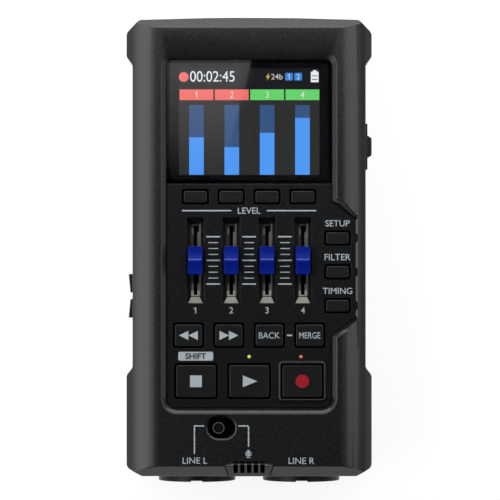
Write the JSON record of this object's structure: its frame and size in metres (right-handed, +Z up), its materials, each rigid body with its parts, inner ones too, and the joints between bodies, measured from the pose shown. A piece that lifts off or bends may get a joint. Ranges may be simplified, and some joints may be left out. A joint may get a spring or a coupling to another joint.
{
  "type": "handheld multitrack recorder",
  "caption": "Handheld multitrack audio recorder with a colour display, slide faders, transport keys, side switches and combined input jacks at one end.",
  "frame": {"origin": "on the table under the middle of the bounding box, the recorder lying on its back", "axes": "+Z up out of the control face, +Y towards the display end, +X to the right of a person reading the display"},
  "size_m": [0.086, 0.1632, 0.048],
  "materials": {
    "case_grey": "finely textured moulded plastic",
    "panel_black": "satin moulded plastic",
    "key_black": "satin moulded plastic with rounded edges",
    "window_glass": "glossy hard-coated window",
    "display": "lit colour display behind the window",
    "white_plastic": "moulded plastic",
    "ribbon": "flexible printed film",
    "circuit_board": "solder-masked board",
    "connector_black": "moulded plastic",
    "fader_steel": "folded sheet steel",
    "lever_steel": "stamped steel",
    "fader_blue": "satin moulded plastic with a pale centre line",
    "light_green": "clear light pipe",
    "light_red": "clear light pipe",
    "jack_black": "moulded plastic",
    "contact_brass": "plated brass",
    "socket_steel": "plated sheet steel",
    "screw_steel": "blackened steel",
    "cell_sleeve": "plain printed sleeve over steel",
    "rubber_black": "soft rubber"
  },
  "bodies": {
    "case": {"front_case": "case_grey", "rear_case": "case_grey", "control_panel": "panel_black", "display_window": "window_glass", "lcd_module": "display", "lcd_holder": "white_plastic", "lcd_ribbon": "ribbon", "control_board": "circuit_board", "main_board": "circuit_board", "jack_board": "circuit_board", "board_connector": "connector_black", "fader_frames": "fader_steel", "key_switches": "connector_black", "play_light": "light_green", "record_light": "light_red", "input_jack_left": "jack_black", "input_jack_right": "jack_black", "jack_contacts": "contact_brass", "mic_capsule": "socket_steel", "mic_boot": "rubber_black", "selector_body": "connector_black", "power_switch": "connector_black", "power_bezel": "panel_black", "volume_switches": "connector_black", "phones_jack": "jack_black", "usb_socket": "socket_steel", "card_socket": "socket_steel", "battery_tray": "connector_black", "battery_contacts": "socket_steel", "battery_cells": "cell_sleeve", "rubber_feet": "rubber_black", "case_screws": "screw_steel", "board_screws": "screw_steel"},
    "fader_1": {"fader_lever_1": "lever_steel", "fader_cap_1": "fader_blue"},
    "fader_2": {"fader_lever_2": "lever_steel", "fader_cap_2": "fader_blue"},
    "fader_3": {"fader_lever_3": "lever_steel", "fader_cap_3": "fader_blue"},
    "fader_4": {"fader_lever_4": "lever_steel", "fader_cap_4": "fader_blue"},
    "track_key_1": {"track_key_1": "key_black"},
    "track_key_2": {"track_key_2": "key_black"},
    "track_key_3": {"track_key_3": "key_black"},
    "track_key_4": {"track_key_4": "key_black"},
    "input_key": {"input_key": "key_black"},
    "effect_key": {"effect_key": "key_black"},
    "rhythm_key": {"rhythm_key": "key_black"},
    "rewind_key": {"rewind_key": "key_black"},
    "forward_key": {"forward_key": "key_black"},
    "undo_key": {"undo_key": "key_black"},
    "bounce_key": {"bounce_key": "key_black"},
    "stop_key": {"stop_key": "key_black"},
    "play_key": {"play_key": "key_black"},
    "record_key": {"record_key": "key_black"},
    "volume_up_key": {"volume_up_key": "case_grey"},
    "volume_down_key": {"volume_down_key": "case_grey"},
    "power_slider": {"power_slider": "case_grey"},
    "selector_knob": {"selector_knob": "key_black"},
    "battery_door": {"battery_door": "case_grey"}
  },
  "joints": [
    {"name": "fader_1_slide", "type": "slide", "parent": "case", "child": "fader_1", "axis": [0, 1, 0], "range_m": [-0.01, 0.01]},
    {"name": "fader_2_slide", "type": "slide", "parent": "case", "child": "fader_2", "axis": [0, 1, 0], "range_m": [-0.01, 0.01]},
    {"name": "fader_3_slide", "type": "slide", "parent": "case", "child": "fader_3", "axis": [0, 1, 0], "range_m": [-0.01, 0.01]},
    {"name": "fader_4_slide", "type": "slide", "parent": "case", "child": "fader_4", "axis": [0, 1, 0], "range_m": [-0.01, 0.01]},
    {"name": "track_key_1_press", "type": "slide", "parent": "case", "child": "track_key_1", "axis": [0, 0, -1], "range_m": [0, 0.0006], "stiffness_N_per_m": 800},
    {"name": "track_key_2_press", "type": "slide", "parent": "case", "child": "track_key_2", "axis": [0, 0, -1], "range_m": [0, 0.0006], "stiffness_N_per_m": 800},
    {"name": "track_key_3_press", "type": "slide", "parent": "case", "child": "track_key_3", "axis": [0, 0, -1], "range_m": [0, 0.0006], "stiffness_N_per_m": 800},
    {"name": "track_key_4_press", "type": "slide", "parent": "case", "child": "track_key_4", "axis": [0, 0, -1], "range_m": [0, 0.0006], "stiffness_N_per_m": 800},
    {"name": "input_key_press", "type": "slide", "parent": "case", "child": "input_key", "axis": [0, 0, -1], "range_m": [0, 0.0006], "stiffness_N_per_m": 800},
    {"name": "effect_key_press", "type": "slide", "parent": "case", "child": "effect_key", "axis": [0, 0, -1], "range_m": [0, 0.0006], "stiffness_N_per_m": 800},
    {"name": "rhythm_key_press", "type": "slide", "parent": "case", "child": "rhythm_key", "axis": [0, 0, -1], "range_m": [0, 0.0006], "stiffness_N_per_m": 800},
    {"name": "rewind_key_press", "type": "slide", "parent": "case", "child": "rewind_key", "axis": [0, 0, -1], "range_m": [0, 0.0006], "stiffness_N_per_m": 800},
    {"name": "forward_key_press", "type": "slide", "parent": "case", "child": "forward_key", "axis": [0, 0, -1], "range_m": [0, 0.0006], "stiffness_N_per_m": 800},
    {"name": "undo_key_press", "type": "slide", "parent": "case", "child": "undo_key", "axis": [0, 0, -1], "range_m": [0, 0.0006], "stiffness_N_per_m": 800},
    {"name": "bounce_key_press", "type": "slide", "parent": "case", "child": "bounce_key", "axis": [0, 0, -1], "range_m": [0, 0.0006], "stiffness_N_per_m": 800},
    {"name": "stop_key_press", "type": "slide", "parent": "case", "child": "stop_key", "axis": [0, 0, -1], "range_m": [0, 0.0006], "stiffness_N_per_m": 800},
    {"name": "play_key_press", "type": "slide", "parent": "case", "child": "play_key", "axis": [0, 0, -1], "range_m": [0, 0.0006], "stiffness_N_per_m": 800},
    {"name": "record_key_press", "type": "slide", "parent": "case", "child": "record_key", "axis": [0, 0, -1], "range_m": [0, 0.0006], "stiffness_N_per_m": 800},
    {"name": "volume_up_key_press", "type": "slide", "parent": "case", "child": "volume_up_key", "axis": [1, 0, 0], "range_m": [0, 0.0006], "stiffness_N_per_m": 800},
    {"name": "volume_down_key_press", "type": "slide", "parent": "case", "child": "volume_down_key", "axis": [1, 0, 0], "range_m": [0, 0.0006], "stiffness_N_per_m": 800},
    {"name": "power_slide", "type": "slide", "parent": "case", "child": "power_slider", "axis": [0, 1, 0], "range_m": [-0.003, 0.003]},
    {"name": "selector_slide", "type": "slide", "parent": "case", "child": "selector_knob", "axis": [1, 0, 0], "range_m": [0, 0.002]},
    {"name": "battery_door_slide", "type": "slide", "parent": "case", "child": "battery_door", "axis": [0, 1, 0], "range_m": [0, 0.0615]}
  ]
}
